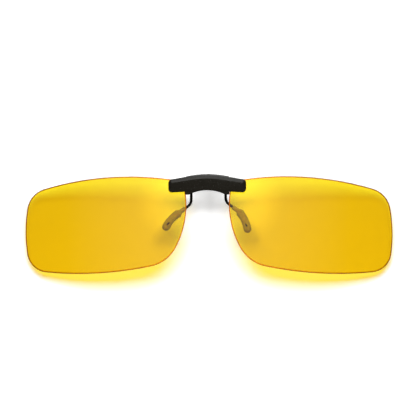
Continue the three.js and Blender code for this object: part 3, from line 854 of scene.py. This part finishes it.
def screw_profile():
    """(radius, y) of a screw from its point to the top of its domed head."""
    under = SCREW_TOP - SCREW_HEAD_THICK
    profile = [
        (0, SCREW_TIP),
        (SCREW_POINT_RADIUS, SCREW_TIP),
        (SCREW_SHANK, SCREW_TIP + SCREW_POINT_LENGTH),
        (SCREW_SHANK, under),
        (SCREW_HEAD - SCREW_EDGE, under),
        (SCREW_HEAD, under + SCREW_EDGE),
    ]
    for i in range(SCREW_DOME_STEPS + 1):
        angle = math.pi / 2 * i / SCREW_DOME_STEPS
        radius = SCREW_HEAD - SCREW_DOME * (1 - math.cos(angle)) * SCREW_DOME_PULL
        profile.append((radius, SCREW_TOP - SCREW_DOME + SCREW_DOME * math.sin(angle)))
    return [*profile, (0, SCREW_TOP + SCREW_CROWN)]


def screw(label, side, place):
    """Pan head with a cross recess, on a plain shank."""
    x, z = SCREW_SPOTS[place]
    centre = Vector((side * x, z))
    across = Vector((1, 0, 0))
    up = Vector((0, 0, 1))
    rings = []
    for radius, y in screw_profile():
        rings.append(ring_about(Vector((centre.x, y, centre.y)), across, up, radius, SCREW_SIDES))
    name = f"lens_screw_{label}_{place}"
    obj = loft(name, rings)
    for turn in (RECESS_TURN, RECESS_TURN + math.pi / 2):
        spin = Matrix.Rotation(turn, 2)
        arm = rectangle(-RECESS_ARM, RECESS_ARM, -RECESS_HALF, RECESS_HALF)
        outline = [centre + spin @ p for p in arm]
        combine(obj, prism_y("recess", outline, SCREW_TOP - RECESS_DEPTH, SCREW_TOP + MARGIN), "DIFFERENCE")
    smooth(obj)
    dress(obj, name, "front", "screw_steel", "screw_steel")


# --- bridge bar ---


def bar_outline():
    """Front outline of the bar, clockwise, in x, z."""
    apex = BAR_TOP + BAR_CROWN_RADIUS * (1 / math.cos(BAR_SLOPE) - 1)
    end_top = apex - BAR_HALF * math.tan(BAR_SLOPE)
    left_foot, right_foot = (-BAR_ARCH_HALF, BAR_ARCH_FOOT), (BAR_ARCH_HALF, BAR_ARCH_FOOT)
    centre = arc_centre(left_foot, right_foot, BAR_ARCH_RADIUS)
    underside = clockwise_arc(centre, BAR_ARCH_RADIUS, left_foot, right_foot)[::-1]
    right = [
        (BAR_HALF, end_top, TAB_CORNER),
        (BAR_HALF, TAB_OUTER_FOOT, TAB_CORNER),
        (TAB_INNER, TAB_INNER_FOOT, TAB_INNER_CORNER),
        (TAB_INNER, BAR_ARCH_FOOT, BAR_ARCH_CORNER),
        (BAR_ARCH_HALF, BAR_ARCH_FOOT, 0),
    ]
    left = [(-x, z, radius) for x, z, radius in reversed(right[:-1])]
    return rounded_polygon([(0, apex, BAR_CROWN_RADIUS), *right, *((p.x, p.y, 0) for p in underside), *left])


def chamfer_share(point):
    """1 along the top and ends of the bar, less along its underside."""
    under = BAR_EDGE_CHAMFER / BAR_TOP_CHAMFER
    if abs(point.x) > BAR_HALF - TAB_CORNER:
        rise = (point.y - TAB_OUTER_FOOT) / TAB_CORNER
        return under + (1 - under) * min(max(rise, 0), 1)
    return 1 if point.y > 0 else under


def bar_front_rings(outline):
    """Rings of the bar's front: wall, rounded chamfer and the border of the flat face."""
    shares = [chamfer_share(p) for p in outline]
    rings = []
    for inwards, back in BAR_CHAMFER_PROFILE:
        ring = []
        for i, point in enumerate(outline):
            way = (outline[(i + 1) % len(outline)] - outline[i - 1]).normalized()
            reach = BAR_TOP_CHAMFER * shares[i]
            moved = point + Vector((way.y, -way.x)) * reach * inwards
            ring.append(Vector((moved.x, BAR_FRONT + reach * back, moved.y)))
        rings.append(ring)
    return rings


def ear_outline():
    """Side view of an ear in y, z: a round nose about the pin, with the lever's stop above it."""
    depth = LEVER_FRONT - PIN.y - STOP_GAP
    spin = Matrix.Rotation(OPEN_ANGLE, 2)
    stops = [spin @ Vector((depth, height)) + Vector((PIN.y, PIN.z)) for height in (STOP_LOW, STOP_HIGH)]
    root = BAR_REAR - EAR_ROOT
    nose = circle_points((PIN.y, PIN.z), LUG_RADIUS, -math.pi / 2, math.pi / 2, EAR_STEPS)
    return [Vector((root, PIN.z - LUG_RADIUS)), *nose, *stops, Vector((root, stops[1].y))]


def bridge_bar():
    """The arched bar, with its lens seats, screw holes and ears."""
    outline = bar_outline()
    back = [Vector((p.x, BAR_REAR, p.y)) for p in outline]
    obj = loft("bridge_bar", [back, *bar_front_rings(outline)])
    seat_top = -2 * SLIP - GASKET_THICK
    for side in SIDES.values():
        x0, x1 = on_side(side, CORE_HALF, SEAT_REACH)
        seat = lens_layer("seat", side, x0, x1, -SEAT_HALF_HEIGHT, SEAT_HALF_HEIGHT, seat_top, SEAT_DEPTH)
        combine(obj, seat, "DIFFERENCE")
        cut_screw_holes(obj, side, SCREW_SHANK + SLIP, SCREW_TIP - SLIP, SCREW_HOLE_END)
        x0, x1 = on_side(side, EAR_NEAR, EAR_FAR)
        combine(obj, prism_x("ear", ear_outline(), x0, x1), "UNION")
    combine(obj, rod_x("pin_hole", PIN_RADIUS + PRESS_GAP, -BEYOND, BEYOND), "DIFFERENCE")
    limited_dissolve(obj)
    soften_edges(obj, EDGE_ROUND, segments=2)
    smooth(obj)
    dress(obj, "bridge_bar", "front", "black_plastic", "black_plastic")


# --- lever, pin and spring ---


def lever_profile():
    """Side view of the lever plate in y, z, with the ribs of its finger grip."""
    span = LEVER_TAB_TOP - LEVER_FOOT
    high, middle, low = RIB_SHARES
    ribs = []
    for i in reversed(range(RIB_COUNT)):
        z = RIB_LOWEST + RIB_PITCH * i
        y = LEVER_REAR + LEVER_LEAN * (z - LEVER_FOOT) / span
        ribs.append((y, z + RIB_PITCH * high, 0))
        ribs.append((y + RIB_HEIGHT, z + RIB_PITCH * middle, RIB_ROUND))
        ribs.append((y + RIB_HEIGHT, z + RIB_PITCH * low, RIB_ROUND))
        ribs.append((y, z, 0))
    return rounded_polygon([
        (LEVER_FRONT, LEVER_FOOT, LEVER_FOOT_FRONT_ROUND),
        (LEVER_FRONT, LEVER_SHOULDER, 0),
        (LEVER_FRONT + LEVER_LEAN, LEVER_TAB_TOP, LEVER_TOP_FRONT_ROUND),
        (LEVER_REAR + LEVER_LEAN, LEVER_TAB_TOP, LEVER_TOP_REAR_ROUND),
        *ribs,
        (LEVER_REAR, LEVER_FOOT, LEVER_FOOT_REAR_ROUND),
    ])


def lever_front():
    """Front view of the lever plate in x, z: a crowned finger tab over two feet and their arch."""
    right = [
        (LEVER_ARCH_HALF, LEVER_ARCH_TOP, LEVER_ARCH_ROUND),
        (LEVER_ARCH_FOOT, LEVER_FOOT, 0),
        (LEVER_HALF, LEVER_FOOT, LEVER_FOOT_ROUND),
        (LEVER_HALF, LEVER_SHOULDER, LEVER_SHOULDER_ROUND),
        (LEVER_TAB_HALF, LEVER_SHOULDER, LEVER_WAIST_ROUND),
        (LEVER_TAB_HALF, LEVER_TAB_TOP - LEVER_CROWN_DROP, LEVER_TAB_ROUND),
    ]
    left = [(-x, z, radius) for x, z, radius in reversed(right)]
    crown = (0, LEVER_TAB_TOP + LEVER_CROWN_RISE, LEVER_CROWN_RADIUS)
    return rounded_polygon([*right, crown, *left])


def wire_socket(side):
    """Cutter for the blind hole that holds the top of a wire."""
    circle = circle_points((side * WIRE_X, WIRE_Y), WIRE_RADIUS + SLIP, 0, math.tau, SOCKET_SIDES)
    heights = (-BEYOND, WIRE_TOP + SOCKET_HEADROOM)
    return loft("socket", [[Vector((p.x, p.y, z)) for p in circle] for z in heights])


def clip_lever():
    """The finger lever: ribbed plate, spring pocket, and each side's knuckle, web, heel and wire socket."""
    obj = prism_x("clip_lever", lever_profile(), -LEVER_HALF, LEVER_HALF)
    combine(obj, prism_y("front", lever_front(), 0, BEYOND), "INTERSECT")
    pocket = rectangle(0, POCKET_REAR, POCKET_FOOT, POCKET_TOP)
    combine(obj, prism_x("pocket", pocket, -KNUCKLE_NEAR, KNUCKLE_NEAR), "DIFFERENCE")
    rear = LEVER_FRONT + WEB_OVERLAP
    heel = rectangle(BAR_REAR + SLIP, rear, HEEL_FOOT, HEEL_TOP)
    web = rectangle(PIN.y, rear, PIN.z - LUG_RADIUS, PIN.z + LUG_RADIUS)
    for side in SIDES.values():
        x0, x1 = on_side(side, KNUCKLE_NEAR, LEVER_HALF)
        combine(obj, rod_x("knuckle", LUG_RADIUS, x0, x1), "UNION")
        combine(obj, prism_x("web", web, x0, x1), "UNION")
        combine(obj, prism_x("heel", heel, x0, x1), "UNION")
        combine(obj, wire_socket(side), "DIFFERENCE")
    combine(obj, rod_x("pin_hole", PIN_RADIUS + TURNING_GAP, -BEYOND, BEYOND), "DIFFERENCE")
    limited_dissolve(obj)
    soften_edges(obj, EDGE_ROUND, segments=2)
    smooth(obj)
    dress(obj, "clip_lever", "lever", "black_plastic", "black_plastic")


def hinge_pin():
    """A plain pin with domed ends."""
    angles = [math.pi / 2 * i / PIN_DOME_STEPS for i in range(PIN_DOME_STEPS + 1)]
    stations = [-PIN_HIGH.x + PIN_DOME * (1 - math.cos(angle)) for angle in angles]
    stations += [-x for x in reversed(stations)]
    radii = [PIN_RADIUS * math.sin(angle) for angle in angles]
    line = [Vector((x, PIN.y, PIN.z)) for x in stations]
    obj = sweep("hinge_pin", line, radii + radii[::-1], PIN_SIDES)
    smooth(obj)
    dress(obj, "hinge_pin", "front", "steel", "steel")


def spring_line():
    """Centre line of the torsion spring: bar leg, coil, lever leg."""
    pin = Vector((PIN.y, PIN.z))
    bar_leg = Vector(BAR_LEG_END) - pin
    lever_leg = Vector(LEVER_LEG_END) - pin
    start = math.atan2(bar_leg.y, bar_leg.x) + math.acos(SPRING_COIL / bar_leg.length)
    end = math.atan2(lever_leg.y, lever_leg.x) - math.acos(SPRING_COIL / lever_leg.length)
    end += math.tau * SPRING_TURNS
    coil = []
    steps = SPRING_TURNS * SPRING_TURN_STEPS
    for i in range(steps + 1):
        share = i / steps
        angle = start + (end - start) * share
        x = SPRING_HALF * (2 * share - 1)
        coil.append(Vector((x, PIN.y + SPRING_COIL * math.cos(angle), PIN.z + SPRING_COIL * math.sin(angle))))
    first = Vector((-SPRING_HALF, *BAR_LEG_END))
    last = Vector((SPRING_HALF, *LEVER_LEG_END))
    ahead = [first.lerp(coil[0], i / SPRING_LEG_STEPS) for i in range(SPRING_LEG_STEPS)]
    behind = [coil[-1].lerp(last, (i + 1) / SPRING_LEG_STEPS) for i in range(SPRING_LEG_STEPS)]
    return ahead + coil + behind


def torsion_spring():
    line = spring_line()
    radii = [0, *[SPRING_WIRE] * len(line), 0]
    obj = sweep("torsion_spring", [line[0], *line, line[-1]], radii, SPRING_SIDES)
    smooth(obj, SHARP_FROM_ROUND)
    dress(obj, "torsion_spring", "front", "steel", "steel", moves=False)
    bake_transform(obj)


# --- wires and pads ---


def pad_point(label, share):
    """A point of the pad's centre line, from the wire's entry to the tip."""
    reach = REACH[label]
    tilt = reach["tilt"]
    along = PAD_LENGTH * share
    bow = PAD_BOW * 4 * share * (1 - share)
    x = reach["entry"][0] + along * math.cos(tilt) + bow * math.sin(tilt)
    z = reach["entry"][1] - along * math.sin(tilt) + bow * math.cos(tilt)
    y = PAD_Y + (PAD_ENTRY_Y - PAD_Y) * (1 - share) ** 2
    return Vector((SIDES[label] * x, y, z))


def bend_points(before, corner, after):
    """Points of a rounded bend, without its ends."""
    points = []
    for i in range(1, WIRE_BEND_STEPS):
        t = i / WIRE_BEND_STEPS
        points.append(before * (1 - t) ** 2 + corner * 2 * t * (1 - t) + after * t**2)
    return points


def wire_corner(label):
    """Where a wire's two straight stretches would meet."""
    return Vector((SIDES[label] * WIRE_X, WIRE_Y, REACH[label]["bend_z"]))


def wire_line(label):
    """A wire's centre line: down from its socket, round the bend, outwards and down inside the pad."""
    corner = wire_corner(label)
    top = Vector((corner.x, WIRE_Y, WIRE_TOP))
    entry = pad_point(label, 0)
    before = corner + Vector((0, 0, WIRE_BEND))
    after = corner + (entry - corner).normalized() * WIRE_BEND
    line = [top.lerp(before, i / WIRE_TOP_STEPS) for i in range(WIRE_TOP_STEPS + 1)]
    line += bend_points(before, corner, after)
    line += [after.lerp(entry, i / WIRE_REACH_STEPS) for i in range(WIRE_REACH_STEPS - 1)]
    end_share = 1 - PAD_WIRE_END / PAD_LENGTH
    line += [pad_point(label, end_share * (i + 1) / WIRE_PAD_STEPS) for i in range(WIRE_PAD_STEPS)]
    return smooth_line(line, WIRE_SMOOTHING)


def smooth_line(points, passes):
    """Evens out the small kinks where stretches of a line meet; the ends stay."""
    for _ in range(passes):
        points = [
            points[0],
            *[(points[i - 1] + points[i] * 2 + points[i + 1]) / 4 for i in range(1, len(points) - 1)],
            points[-1],
        ]
    return points


def rounded_end(points, radius):
    """Stations and radii that dome the far end of a wire."""
    tip = points[-1]
    way = (points[-1] - points[-2]).normalized()
    stations = []
    radii = []
    for i in range(1, WIRE_TIP_STEPS + 1):
        angle = math.pi / 2 * i / WIRE_TIP_STEPS
        stations.append(tip + way * radius * math.sin(angle) * WIRE_TIP_FLATNESS)
        radii.append(radius * math.cos(angle) if i < WIRE_TIP_STEPS else 0)
    return stations, radii


def leg_wire(label):
    line = wire_line(label)
    tip, tip_radii = rounded_end(line, WIRE_RADIUS)
    stations = [line[0], *line, *tip]
    radii = [0, *[WIRE_RADIUS] * len(line), *tip_radii]
    obj = sweep(f"leg_wire_{label}", stations, radii, WIRE_SIDES)
    smooth(obj, SHARP_FROM_ROUND)
    dress(obj, f"leg_wire_{label}", "lever", "black_wire", "black_wire")


def sleeve_point(label, reach):
    """A point of the pad's centre line, a distance beyond the wire's entry; before that it is on the wire."""
    if reach >= 0:
        return pad_point(label, reach / PAD_LENGTH)
    entry = pad_point(label, 0)
    return entry + (wire_corner(label) - entry).normalized() * -reach


def sleeve_ring(label, reach, radius):
    """A circle about the pad's centre line."""
    ahead = sleeve_point(label, reach + PAD_TANGENT_STEP)
    behind = sleeve_point(label, reach - PAD_TANGENT_STEP)
    way = (ahead - behind).normalized()
    side_way = way.cross(Vector((0, 1, 0))).normalized()
    up = side_way.cross(way).normalized()
    return ring_about(sleeve_point(label, reach), side_way, up, radius, PAD_SIDES)


def pad_inside():
    """(reach, radius) of the bore, from its floor out to the rolled lip."""
    floor = PAD_LENGTH - PAD_WIRE_END + PAD_BORE_BEYOND
    bore_length = floor + NECK_LENGTH
    profile = [(floor, 0)]
    profile += [(floor - bore_length * i / PAD_BORE_STEPS, PAD_BORE) for i in range(PAD_BORE_STEPS + 1)]
    wall = (NECK_RADIUS - PAD_BORE) / 2
    for i in range(1, PAD_LIP_STEPS):
        angle = math.pi * i / PAD_LIP_STEPS
        profile.append((-NECK_LENGTH - wall * math.sin(angle), PAD_BORE + wall * (1 - math.cos(angle))))
    return profile


def pad_outside():
    """(reach, radius) of the sleeve, the shoulder, the slightly waisted wall and the domed tip."""
    sleeve = NECK_LENGTH - PAD_SHOULDER
    profile = [(-NECK_LENGTH + sleeve * i / PAD_NECK_STEPS, NECK_RADIUS) for i in range(PAD_NECK_STEPS)]
    for i in range(PAD_SHOULDER_STEPS + 1):
        share = i / PAD_SHOULDER_STEPS
        rise = (1 - math.cos(math.pi * share)) / 2
        profile.append((PAD_SHOULDER * (2 * share - 1), NECK_RADIUS + (PAD_RADIUS - NECK_RADIUS) * rise))
    for i in range(PAD_WALL_FIRST, PAD_WALL_STEPS + 1):
        share = i / PAD_WALL_STEPS
        waist = PAD_WAIST * math.sin(math.pi * share) ** 2
        profile.append((PAD_LENGTH * share, PAD_RADIUS * (1 - waist)))
    for i in range(1, PAD_TIP_STEPS):
        angle = math.pi / 2 * i / PAD_TIP_STEPS
        profile.append((PAD_LENGTH + PAD_RADIUS * math.sin(angle), PAD_RADIUS * math.cos(angle)))
    return [*profile, (PAD_LENGTH + PAD_RADIUS, 0)]


def pad(label):
    """A silicone pad on a thin sleeve, with its window."""
    profile = pad_inside() + pad_outside()
    obj = loft(f"pad_{label}", [sleeve_ring(label, reach, radius) for reach, radius in profile])
    combine(obj, window(label), "DIFFERENCE")
    smooth(obj, SHARP_FROM_SOFT)
    dress(obj, f"pad_{label}", "lever", "silicone", "silicone")


def window(label):
    """Cutter for the oval hole near the pad's tip where the wire end shows."""
    centre = pad_point(label, 1 - (PAD_WIRE_END + WINDOW_FROM_WIRE) / PAD_LENGTH)
    tilt = REACH[label]["tilt"]
    along = Vector((SIDES[label] * math.cos(tilt), -math.sin(tilt)))
    across = Vector((-along.y, along.x))
    outline = []
    for point in circle_points((0, 0), 1, 0, math.tau, WINDOW_STEPS):
        offset = along * point.x * WINDOW_HALF_LENGTH + across * point.y * WINDOW_HALF_WIDTH
        outline.append(Vector((centre.x, centre.z)) + offset)
    return prism_y("window", outline, centre.y - WINDOW_FRONT, centre.y - WINDOW_FLOOR)


# --- stage, lights and camera ---


BOARD_Y = 15 * MM
BOARD_END_Y = 6 * MM
BOARD_REACH = 100 * MM
BOARD_COLUMNS = 80
BOARD_FADE = [(0.5, 0.0), (0.65, 1.0)]
# Painted shade on the card: its colour falls from 1 at this height to its top value at the height of the bar,
# standing in for weaker light towards the top.
BOARD_FOOT_Z = -40 * MM
BOARD_TOP_PAINTED_SHADE = 0.8
# Painted light on the card: patches where it glows and lightens the bar's shadow; each is a spot, its
# stretch, and its ramp of distance in metres
PAINTED_GLOW_PATCHES = [
    ((0, BOARD_Y, 6 * MM), (1, 1, 3), [(0, 0.5), (0.008, 0.42), (0.016, 0.0)]),
    ((11.5 * MM, BOARD_Y, 9 * MM), (1, 1, 1), [(0, 0.5), (0.005, 0.36), (0.0145, 0.0)]),
]

# Light from afar: its direction, inner and outer angle in degrees, strength outside and inside
OVERHEAD_GLOW = ((0, -0.25, 1), 12, 34, 0.05, 2.1)
REAR_GLOW = ((0.3, 1, 1), 10, 40, 0, 1.5)
BACKDROP_STRENGTH = 1.02
WHITE = (1, 1, 1, 1)

LAMP_PLACE = Vector((0.02, -0.443, 0.207))
LAMP_AIM = Vector((0.006, 0, -0.02))
LAMP_SIZE = (0.28, 0.16)
LAMP_POWER = 4.15

CAMERA_AZIMUTH = math.radians(3)
CAMERA_ELEVATION = math.radians(8)
CAMERA_ROLL = math.radians(0.5)
CAMERA_DISTANCE = 1.0
CAMERA_AIM = Vector((0, 0, -9.5 * MM))
CAMERA_NEAREST = 10 * MM
FRAME_WIDTH = 149.2 * MM
SENSOR_WIDTH = 36


def painted_glow_patch(made, spot, stretch, stops):
    """Painted light: the card glows round a spot and its mirror images in the middle planes."""
    folded = made.add("ShaderNodeVectorMath", made.place, operation="ABSOLUTE").outputs["Vector"]
    offset = made.add("ShaderNodeVectorMath", folded, spot, operation="SUBTRACT").outputs["Vector"]
    scaled = made.add("ShaderNodeVectorMath", offset, stretch, operation="MULTIPLY").outputs["Vector"]
    away = made.add("ShaderNodeVectorMath", scaled, operation="LENGTH").outputs["Value"]
    return made.add("ShaderNodeEmission", made.ramp(away, stops))


def board():
    """An upright white card, bowed towards the lenses' outer ends, with painted shade towards its top and
    glowing patches of painted light. It shows from the front only.
    """
    columns = []
    for i in range(BOARD_COLUMNS + 1):
        x = BOARD_REACH * (2 * i / BOARD_COLUMNS - 1)
        bow = min(abs(x) / CAD_BOX[1][0], 1) ** 2
        columns.append((x, BOARD_Y + (BOARD_END_Y - BOARD_Y) * bow))
    vertices = [(x, y, z) for x, y in columns for z in (-BOARD_REACH, BOARD_REACH)]
    faces = [(2 * i, 2 * i + 2, 2 * i + 3, 2 * i + 1) for i in range(BOARD_COLUMNS)]
    mesh = bpy.data.meshes.new("board")
    mesh.from_pydata(vertices, [], faces)
    obj = new_object("board", mesh)
    for polygon in mesh.polygons:
        polygon.use_smooth = True
    made = Nodes(bpy.data.materials.new("board"))
    height = made.add("ShaderNodeSeparateXYZ", made.place).outputs["Z"]
    # Painted shade: the card is darker towards the top.
    painted_shade = made.add("ShaderNodeMapRange", height, BOARD_FOOT_Z, 0, 1, BOARD_TOP_PAINTED_SHADE)
    card = made.add("ShaderNodeBsdfDiffuse", painted_shade.outputs["Result"])
    # Painted light: the card glows in patches that lighten the bar's shadow.
    for patch in PAINTED_GLOW_PATCHES:
        light = painted_glow_patch(made, *patch)
        card = made.add("ShaderNodeAddShader", card.outputs[0], light.outputs[0])
    nothing = made.add("ShaderNodeBsdfTransparent")
    rear = made.add("ShaderNodeNewGeometry").outputs["Backfacing"]
    slant = made.add("ShaderNodeLayerWeight").outputs["Facing"]
    faded = made.blend(made.ramp(slant, BOARD_FADE), made.blend(rear, card, nothing), nothing)
    mesh.materials.append(made.finish(faded))
    obj.visible_glossy = False


def lamp():
    """One soft lamp above the front; it shows neither to the camera nor in gloss."""
    data = bpy.data.lights.new("soft", "AREA")
    data.shape = "RECTANGLE"
    data.size, data.size_y = LAMP_SIZE
    data.energy = LAMP_POWER
    obj = bpy.data.objects.new("soft", data)
    bpy.context.scene.collection.objects.link(obj)
    obj.location = LAMP_PLACE
    obj.rotation_euler = (LAMP_AIM - LAMP_PLACE).to_track_quat("-Z", "Y").to_euler()
    obj.visible_camera = False
    obj.visible_glossy = False


def glow(made, towards, inner, outer, low, high):
    """A soft round patch of light: high within an inner angle of a direction, low beyond an outer one."""
    way = Vector(towards).normalized()
    along = made.add("ShaderNodeVectorMath", made.place, way, operation="DOT_PRODUCT").outputs["Value"]
    ends = (math.cos(math.radians(outer)), math.cos(math.radians(inner)))
    ramp = made.add("ShaderNodeMapRange", along, *ends, low, high, interpolation_type="SMOOTHSTEP")
    return ramp.outputs["Result"]


def world():
    """White all round to look at; as a light, soft boxes overhead and behind in a dim room."""
    made = Nodes(bpy.data.worlds.new("studio"), "ShaderNodeOutputWorld", "Generated")
    light = made.add("ShaderNodeMath", glow(made, *OVERHEAD_GLOW), glow(made, *REAR_GLOW))
    room = made.add("ShaderNodeBackground", WHITE, light.outputs[0])
    backdrop = made.add("ShaderNodeBackground", WHITE, BACKDROP_STRENGTH)
    seen = made.add("ShaderNodeLightPath").outputs["Is Camera Ray"]
    bpy.context.scene.world = made.finish(made.blend(seen, room, backdrop))


def camera():
    """A distant camera, a little above the front and to one side."""
    level = math.cos(CAMERA_ELEVATION)
    away = Vector((
        math.sin(CAMERA_AZIMUTH) * level,
        -math.cos(CAMERA_AZIMUTH) * level,
        math.sin(CAMERA_ELEVATION),
    ))
    data = bpy.data.cameras.new("camera")
    data.sensor_width = SENSOR_WIDTH
    data.lens = SENSOR_WIDTH * CAMERA_DISTANCE / FRAME_WIDTH
    data.clip_start = CAMERA_NEAREST
    obj = bpy.data.objects.new("camera", data)
    bpy.context.scene.collection.objects.link(obj)
    obj.location = CAMERA_AIM + away * CAMERA_DISTANCE
    turned = (-away).to_track_quat("-Z", "Y") @ Quaternion((0, 0, 1), -CAMERA_ROLL)
    obj.rotation_euler = turned.to_euler()
    bpy.context.scene.camera = obj


def main():
    bpy.context.scene.view_settings.view_transform = "Standard"
    world()
    camera()
    board()
    lamp()
    bridge_bar()
    clip_lever()
    hinge_pin()
    torsion_spring()
    for label, side in SIDES.items():
        lens(label, side)
        gasket(label, side)
        clamp_block(label, side)
        leg_wire(label)
        pad(label)
        for place in SCREW_SPOTS:
            screw(label, side, place)


main()
